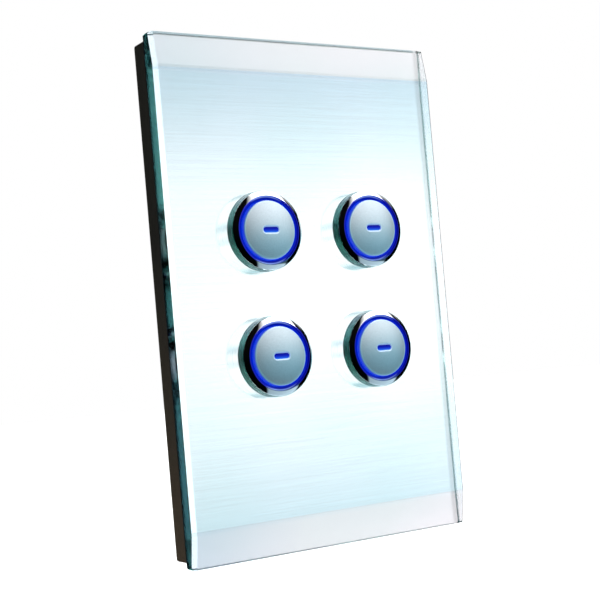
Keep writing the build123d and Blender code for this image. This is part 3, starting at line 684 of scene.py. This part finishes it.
def polished_float_glass():
    # Refracts by 1.52; iron absorbs red most. Faint roller waves are about 25 mm long. The
    # ground side faces are a little less clear than the polished ones.
    skin = 0.01 * mm
    ground_roughness = 0.12
    wave_length = 25 * mm
    material, tree, place = finish("polished_float_glass", {"IOR": 1.52, "Transmission Weight": 1.0})
    parts = add(tree, "SeparateXYZ", {0: place}).outputs
    aside = add(tree, "Math", {0: parts[0]}, operation="ABSOLUTE")
    side = add(tree, "MapRange", {0: aside, 1: glass_high.x - 2 * skin, 2: glass_high.x - skin})
    ground = add(tree, "Math", {0: side, 1: ground_roughness}, operation="MULTIPLY")
    wave = add(tree, "TexNoise", {"Vector": place, "Scale": 1 / wave_length, "Detail": 0.0})
    relief = add(tree, "Bump", {"Height": wave, "Strength": 0.05, "Distance": 0.05 * mm})
    tone = add(tree, "ValToRGB", {0: wave}, stops=((0.3, "#fbfefd"), (0.7, "#ffffff")))

    # The left side face carries painted shade and painted reflection: dark along its back edge, mauve low
    # down and dark green above the middle, and a nearly black painted reflection on the lip of its lower
    # third and at the top bevel.
    depth = add(tree, "MapRange", {0: parts[1], 1: glass_high.y, 2: glass_low.y + side_arris})
    height = add(tree, "MapRange", {0: parts[2], 1: glass_low.z, 2: glass_high.z})
    painted_edge_shade = add(tree, "ValToRGB", {0: depth},
                 stops=((0.0, "#3c4048"), (1.0, "#ffffff"), (0.2, "#444850"), (0.32, "#a0a0a8"),
                        (0.55, "#b8b8c0"), (0.7, "#ffffff")))
    painted_side_reflection = add(tree, "ValToRGB", {0: height},
                  stops=((0.0, "#8c8090"), (1.0, "#c8c4c4"), (0.2, "#80748c"), (0.32, "#646878"),
                         (0.5, "#4c6066"), (0.55, "#304844"), (0.62, "#304844"), (0.68, "#c4c4c4")))
    painted_side_light = add(tree, "VectorMath", {0: painted_edge_shade, 1: painted_side_reflection}, operation="MULTIPLY")
    outermost = add(tree, "MapRange", {0: depth, 1: 0.84, 2: 0.88})
    lower_third = add(tree, "MapRange", {0: height, 1: 0.36, 2: 0.3})
    lip = add(tree, "Math", {0: outermost, 1: lower_third}, operation="MULTIPLY")
    before_edge_shade = add(tree, "MapRange", {0: depth, 1: 0.3, 2: 0.36})
    bevel_foot = glass_high.z - bevel_height
    top_end = add(tree, "MapRange", {0: parts[2], 1: bevel_foot - 1 * mm, 2: bevel_foot})
    top_dark_reflection = add(tree, "Math", {0: before_edge_shade, 1: top_end}, operation="MULTIPLY")
    dark = add(tree, "Math", {0: lip, 1: top_dark_reflection}, operation="MAXIMUM")
    painted_side_light = add(tree, "Mix", {0: dark, 6: painted_side_light, 7: linear("#202a30")}, data_type="RGBA")
    left_side = add(tree, "Math", {0: parts[0], 1: glass_low.x + skin}, operation="LESS_THAN")
    colour = add(tree, "Mix", {0: left_side, 6: tone, 7: painted_side_light}, data_type="RGBA")
    add(tree, "Principled BSDF", {"Base Color": colour, "Normal": relief, "Roughness": ground})
    iron = add(tree, "VolumeAbsorption", {"Color": (0.0, 0.56, 0.52, 1), "Density": 26.0})
    add(tree, "Material Output", {"Volume": iron})
    return material


fascia_plate = place_piece("fascia_plate", bevelled_plate(), polished_float_glass(), "fascia", "clear_glass",
                           ["glass_fascia"])
drill(fascia_plate, [button_centre(place) for place in places])
smooth_below(fascia_plate, 5)


# Chrome bezels: brass collars, turned to a rounded rim, polished and chrome plated,
# cemented into the glass from behind. They are mirrors, with a straight side wall.
def rounded(corners, steps=6):
    """An outline in which each (radius, height, rounding) corner becomes a short arc."""
    points = []
    for index, (x, y, size) in enumerate(corners):
        corner = Vector((x, y))
        before = Vector(corners[index - 1][:2])
        after = Vector(corners[(index + 1) % len(corners)][:2])
        if not size:
            points.append((x, y))
            continue
        start = corner + (before - corner).normalized() * size
        end = corner + (after - corner).normalized() * size
        for step in range(steps + 1):
            t = step / steps
            points.append(tuple((1 - t) ** 2 * start + 2 * t * (1 - t) * corner + t ** 2 * end))
    return points


def reach(node):
    """How far a button's part reaches, in millimetres: its front, its back and its radius."""
    low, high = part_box(node)
    return -low.y / mm, -high.y / mm, (high.x - low.x) / 2 / mm


bezel_play = 0.05
bezel_radius = hole_radius - bezel_play


def off_axis(tree, place):
    """How far a place is from its button's axis."""
    spread = add(tree, "VectorMath", {0: place, 1: (1, 0, 1)}, operation="MULTIPLY")
    return add(tree, "VectorMath", {0: spread}, operation="LENGTH")


def bezel_outline():
    bore = 7.75
    land = 0.1
    bulge = 0.025
    arc_points = 12
    arc_inset = 0.25
    arc_drop = 0.48
    shoulder_drop = 0.8
    flange_thickness = 0.8
    rim, back, flange_radius = reach("chrome_bezel_upper_left")
    flange_front = back + flange_thickness
    start = Vector((bezel_radius - arc_inset, rim - arc_drop))
    end = Vector((bore + land, rim))
    out = Vector((start.y - end.y, end.x - start.x)).normalized() * -bulge
    arc = []
    for step in range(arc_points):
        t = step / arc_points
        point = start.lerp(end, t) + out * 4 * t * (1 - t)
        arc.append((point.x, point.y, 0))
    return rounded([(bore, rim, 0.06), (bore, back, 0), (flange_radius, back, 0.1),
                    (flange_radius, flange_front, 0.1), (bezel_radius, flange_front, 0),
                    (bezel_radius, rim - shoulder_drop, 0.3)] + arc + [(bore + land, rim, 0.05)])


def polished_chrome():
    # A hard mirror over polished brass; hairlines from polishing are about 0.1 mm wide, drawn
    # at 0.4 mm. The wall that stands out of the glass has a painted reflection of the green cut edge
    # round it, and the lip a painted reflection of the blue ring inside it.
    wall_start = 8.99 * mm
    wall_full = 9.03 * mm
    glass_line = -9.1 * mm
    lip_end = 7.88 * mm
    material, tree, place = finish("polished_chrome", {"Metallic": 1.0})
    haze = add(tree, "TexNoise", {"Vector": place, "Scale": 1 / (0.4 * mm), "Detail": 3.0})
    shine = add(tree, "MapRange", {0: haze, 3: 0.03, 4: 0.07})
    radius = off_axis(tree, place)
    wall = add(tree, "MapRange", {0: radius, 1: wall_start, 2: wall_full})
    parts = add(tree, "SeparateXYZ", {0: place}).outputs
    proud = add(tree, "Math", {0: parts[1], 1: glass_line}, operation="LESS_THAN")
    green_reflection_area = add(tree, "Math", {0: wall, 1: proud}, operation="MULTIPLY")
    height = add(tree, "MapRange", {0: parts[2], 1: -bezel_radius * mm, 2: bezel_radius * mm})
    painted_green_reflection = add(tree, "ValToRGB", {0: height},
                     stops=((0.0, "#4a6a70"), (1.0, "#c0ccd0"), (0.07, "#356c69"), (0.25, "#1e564c"),
                            (0.5, "#083834"), (0.75, "#3c7270"), (0.93, "#4e6474")))
    lip = add(tree, "Math", {0: radius, 1: lip_end}, operation="LESS_THAN")
    painted_blue_reflection = add(tree, "ValToRGB", {0: height},
                stops=((0.08, "#405a78"), (0.92, "#7080d0"), (0.16, "#2c30b8"), (0.84, "#2c30b8")))
    mirror = add(tree, "Mix", {0: lip, 6: linear("#eef0f2"), 7: painted_blue_reflection}, data_type="RGBA")
    colour = add(tree, "Mix", {0: green_reflection_area, 6: mirror, 7: painted_green_reflection}, data_type="RGBA")
    add(tree, "Principled BSDF", {"Base Color": colour, "Roughness": shine})
    return material


chrome = polished_chrome()
for place in places:
    bezel = place_piece(f"bezel_{place}", turned(bezel_outline()), chrome, "fascia", "chrome",
                        [f"chrome_bezel_{place}"], button_centre(place))
    smooth_below(bezel)


# Light rings: light guides turned from clear polycarbonate, held in the base round each
# cap. Lamps behind them fill them with deep blue, brightest on the inner wall.
ring_inner = 6.95
ring_outer = 7.6


def lit_blue_light_guide():
    # Light leaves the guide unevenly: brightest at its inner wall and deepest near its outer one; the paler
    # very top and bottom are a painted reflection. Patches about 3 mm across vary it.
    ends_start = 6.3 * mm
    ends_full = 7.2 * mm
    material, tree, place = finish("lit_blue_light_guide",
                                   {"Roughness": 0.15, "IOR": 1.58, "Specular IOR Level": 0.02})
    radius = off_axis(tree, place)
    share = add(tree, "MapRange", {0: radius, 1: ring_inner * mm, 2: ring_outer * mm})
    light = add(tree, "ValToRGB", {0: share},
                stops=((0.0, "#0024c4"), (1.0, "#2830b8"), (0.35, "#001cbc"), (0.7, "#0010a8"),
                       (0.88, "#000a98")))
    # Painted reflection: paler towards the outer edge at the very top and bottom.
    pale = add(tree, "ValToRGB", {0: share}, stops=((0.5, "#001090"), (1.0, "#90a8e8"), (0.75, "#3850b8")))
    height = add(tree, "SeparateXYZ", {0: place}).outputs[2]
    steep = add(tree, "Math", {0: height}, operation="ABSOLUTE")
    end = add(tree, "MapRange", {0: steep, 1: ends_start, 2: ends_full})
    glow = add(tree, "Mix", {0: end, 6: light, 7: pale}, data_type="RGBA")
    patch = add(tree, "TexNoise", {"Vector": place, "Scale": 1 / (3 * mm)})
    uneven = add(tree, "MapRange", {0: patch, 3: 0.85, 4: 1.15})
    add(tree, "Principled BSDF", {"Base Color": linear("#020524"), "Emission Color": glow,
                                  "Emission Strength": uneven})
    return material


def ring_outline():
    front, back, flange = reach("light_ring_upper_left")
    flange_thickness = 0.8
    dish = 0.15
    flange_front = back + flange_thickness
    return rounded([(ring_inner, back, 0), (flange, back, 0.1), (flange, flange_front, 0.1),
                    (ring_outer, flange_front, 0), (ring_outer, front, 0.08),
                    (ring_inner, front - dish, 0.08)])


blue_light = lit_blue_light_guide()
for place in places:
    ring = place_piece(f"ring_{place}", turned(ring_outline()), blue_light, "base", "blue_light",
                       [f"light_ring_{place}"], button_centre(place))
    smooth_below(ring)


# Button caps: ABS cups with a slightly domed front and a slot for the dash, sprayed with
# satin silver lacquer. They clip on the stems and move with them.
crown, skirt, cap_radius = reach("button_cap_upper_left")
slot_length = 3.86
slot_height = 1.26
dome_rise = 0.7


def slot_radius(angle, length, height):
    """How far an obround outline of a length and height reaches at an angle."""
    flat, far = 1e-9, 1e9
    c, s = abs(math.cos(angle)), abs(math.sin(angle))
    end = (length - height) / 2
    half = height / 2
    straight = half / s if s > flat else far
    return straight if straight * c <= end else end * c + math.sqrt(half ** 2 - (end * s) ** 2)


def ringed(rings, steps=128, closed=True):
    """Skin a stack of rings, each given by its radius at an angle and its height there."""
    shape = bmesh.new()
    loops = []
    for radius_at, height_at in rings:
        loop = []
        for step in range(steps):
            angle = 2 * math.pi * step / steps
            r = radius_at(angle)
            x, z = r * mm * math.cos(angle), r * mm * math.sin(angle)
            loop.append(shape.verts.new((x, -height_at(r) * mm, z)))
        loops.append(loop)
    pairs = list(zip(loops, loops[1:])) + ([(loops[-1], loops[0])] if closed else [])
    for loop, following in pairs:
        for index in range(steps):
            shape.faces.new((loop[index - 1], loop[index], following[index], following[index - 1]))
    if not closed:
        shape.faces.new(loops[0])
        shape.faces.new(loops[-1])
    bmesh.ops.recalc_face_normals(shape, faces=shape.faces)
    return shape


def cap_shape():
    rounding = 0.3
    edge = crown - dome_rise
    wall = 0.8
    front_wall = 1.2
    inner_front = edge - front_wall
    slot_edge = 0.3
    dome_rings = 14
    edge_rings = 6
    flat_radius = cap_radius - rounding

    def dome(r):
        return crown - (crown - edge) * (r / flat_radius) ** 2

    def slot_at(growth):
        return lambda angle: slot_radius(angle, slot_length + 2 * growth, slot_height + 2 * growth)

    rings = [(slot_at(0), lambda r: inner_front), (slot_at(0), lambda r: dome(r) - slot_edge)]
    for step in range(1, edge_rings + 1):
        turn = math.pi / 2 * step / edge_rings
        growth = slot_edge * (1 - math.cos(turn))
        drop = slot_edge * (1 - math.sin(turn))
        rings.append((slot_at(growth), lambda r, drop=drop: dome(r) - drop))
    for step in range(1, dome_rings + 1):
        share = step / dome_rings
        rings.append((lambda angle, share=share:
                      slot_at(slot_edge)(angle) * (1 - share) + flat_radius * share, dome))
    for step in range(1, edge_rings + 1):
        turn = math.pi / 2 * step / edge_rings
        r = flat_radius + rounding * math.sin(turn)
        h = edge - rounding + rounding * math.cos(turn)
        rings.append((lambda angle, r=r: r, lambda r, h=h: h))
    for r, h in ((cap_radius, skirt), (cap_radius - wall, skirt), (cap_radius - wall, inner_front)):
        rings.append((lambda angle, r=r: r, lambda r, h=h: h))
    return ringed(rings)


def satin_silver_lacquer():
    # Metal flake about 0.1 mm across, drawn at 0.25 mm. The cap is no lamp: its glow is painted light,
    # from the dash round its slot and from the ring on the edge, azure and deep at the left, paler at the
    # right.
    glow_full = 0.65 * mm
    glow_end = 1.15 * mm
    edge_start = 6.1 * mm
    edge_end = 6.68 * mm
    material, tree, place = finish("satin_silver_lacquer", {"Metallic": 0.9})
    flake = add(tree, "TexNoise", {"Vector": place, "Scale": 1 / (0.25 * mm), "Detail": 3.0})
    tone = add(tree, "ValToRGB", {0: flake}, stops=((0.3, "#9da6ad"), (0.7, "#abb4bb")))
    satin = add(tree, "MapRange", {0: flake, 3: 0.28, 4: 0.4})
    relief = add(tree, "Bump", {"Height": flake, "Strength": 0.3, "Distance": 0.01 * mm})
    parts = add(tree, "SeparateXYZ", {0: place}).outputs
    straight = (slot_length - slot_height) / 2 * mm
    along = add(tree, "Math", {0: parts[0]}, operation="ABSOLUTE")
    past = add(tree, "Math", {0: along, 1: straight}, operation="SUBTRACT")
    past = add(tree, "Math", {0: past, 1: 0.0}, operation="MAXIMUM")
    offset = add(tree, "CombineXYZ", {0: past, 2: parts[2]})
    gap = add(tree, "VectorMath", {0: offset}, operation="LENGTH")
    halo = add(tree, "MapRange", {0: gap, 1: glow_end, 2: glow_full, 3: 0.0, 4: 0.55},
               interpolation_type="SMOOTHSTEP")
    radius = off_axis(tree, place)
    outward = add(tree, "MapRange", {0: radius, 1: edge_start, 2: edge_end})
    # Painted light: the ring's glow on the cap's edge, deep at the left and paler at the right.
    deep = add(tree, "ValToRGB", {0: outward},
               stops=((0.0, "#000000"), (1.0, "#062cb4"), (0.55, "#104c5c"), (0.85, "#2468a4"),
                      (0.93, "#0c4cac")))
    pale = add(tree, "ValToRGB", {0: outward},
               stops=((0.0, "#000000"), (1.0, "#2c50d8"), (0.55, "#2c4c60"), (0.85, "#6c94c0"),
                      (0.93, "#6c98f0")))
    rightward = add(tree, "MapRange", {0: parts[0], 1: -3 * mm, 2: 4 * mm})
    rim = add(tree, "Mix", {0: rightward, 6: deep, 7: pale}, data_type="RGBA")
    dash_glow = add(tree, "VectorMath", {0: linear("#9cc4ff")[:3], "Scale": halo}, operation="SCALE")
    light = add(tree, "VectorMath", {0: dash_glow, 1: rim}, operation="ADD")
    add(tree, "Principled BSDF", {"Base Color": tone, "Roughness": satin, "Normal": relief,
                                  "Emission Color": light, "Emission Strength": 1.0})
    return material


lacquer = satin_silver_lacquer()
for place in places:
    cap = place_piece(f"cap_{place}", cap_shape(), lacquer, f"button_{place}", "satin_silver",
                      [f"button_cap_{place}"], button_centre(place))
    smooth_below(cap)


# Indicator lenses: obround plugs moulded in blue polycarbonate, clipped in behind each
# cap's front. The lamp under them lights them; the deep blue at the top is painted shade.
def lens_shape():
    front, back = reach("indicator_lens_upper_left")[:2]
    flange_thickness = 1.0
    flange_front = back + flange_thickness
    flange = 0.7
    play = 0.03
    rounding = 0.12
    edge_rings = 4

    def outline(growth):
        more = 2 * (growth - play)
        return lambda angle: slot_radius(angle, slot_length + more, slot_height + more)

    rings = [(outline(flange), lambda r: back), (outline(flange), lambda r: flange_front),
             (outline(0), lambda r: flange_front)]
    for step in range(edge_rings + 1):
        turn = math.pi / 2 * step / edge_rings
        growth = -rounding * (1 - math.cos(turn))
        height = front - rounding + rounding * math.sin(turn)
        rings.append((outline(growth), lambda r, height=height: height))
    return ringed(rings, closed=False)


def lit_blue_polycarbonate():
    # Painted shade makes the top of the dash deep blue; it is clear azure along its lower edge. Patches
    # about
    # 1.5 mm across vary it.
    material, tree, place = finish("lit_blue_polycarbonate",
                                   {"Roughness": 0.2, "IOR": 1.58, "Specular IOR Level": 0.02})
    parts = add(tree, "SeparateXYZ", {0: place}).outputs
    height = add(tree, "MapRange", {0: parts[2], 1: -0.6 * mm, 2: 0.6 * mm})
    light = add(tree, "ValToRGB", {0: height},
                stops=((0.0, "#2f78f0"), (1.0, "#040c8c"), (0.25, "#1a44d4"), (0.6, "#0818b0")))
    patch = add(tree, "TexNoise", {"Vector": place, "Scale": 1 / (1.5 * mm)})
    uneven = add(tree, "MapRange", {0: patch, 3: 0.85, 4: 1.15})
    add(tree, "Principled BSDF", {"Base Color": linear("#020418"), "Emission Color": light,
                                  "Emission Strength": uneven})
    return material


dash_light = lit_blue_polycarbonate()
for place in places:
    lens = place_piece(f"dash_{place}", lens_shape(), dash_light, f"button_{place}", "blue_light",
                       [f"indicator_lens_{place}"], button_centre(place))
    smooth_below(lens)


# Return domes: silicone cones between the front board and the stems, moulded in one shot.
# They push the caps back out, and in use flatten as a button goes in; here they are shown at rest.
def moulded_silicone():
    # Silicone is milky and soft to the light, with a moulded haze about 0.5 mm across.
    material, tree, place = finish("moulded_silicone", {"IOR": 1.41, "Subsurface Weight": 0.4,
                                                        "Subsurface Scale": 0.6 * mm})
    haze = add(tree, "TexNoise", {"Vector": place, "Scale": 1 / (0.5 * mm)})
    mottle(tree, haze, "#c9cbcb", "#d6d8d8", 0.45, 0.6)
    return material


def dome_outline():
    top, foot, foot_radius = reach("return_dome_upper_left")
    foot_height = 0.7
    foot_width = 0.6
    lip = 0.5
    web = 0.5
    taper = 1.6
    top_width = 0.8
    top_radius = foot_radius - taper
    top_inner = top_radius - top_width
    return rounded([(foot_radius - foot_width, foot, 0), (foot_radius, foot, 0.1),
                    (foot_radius, foot + foot_height, 0.3), (top_radius, top - lip, 0.3),
                    (top_radius, top, 0.1), (top_inner, top, 0.1), (top_inner, top - lip, 0.3),
                    (foot_radius - web, foot + foot_height - web, 0.1)])


silicone = moulded_silicone()
dome_steps = 64
for place in places:
    centre = button_centre(place)
    dome = place_piece(f"dome_{place}", turned(dome_outline(), dome_steps), silicone, "base", "silicone",
                       [f"return_dome_{place}"], centre)
    smooth_below(dome)
    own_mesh(dome)
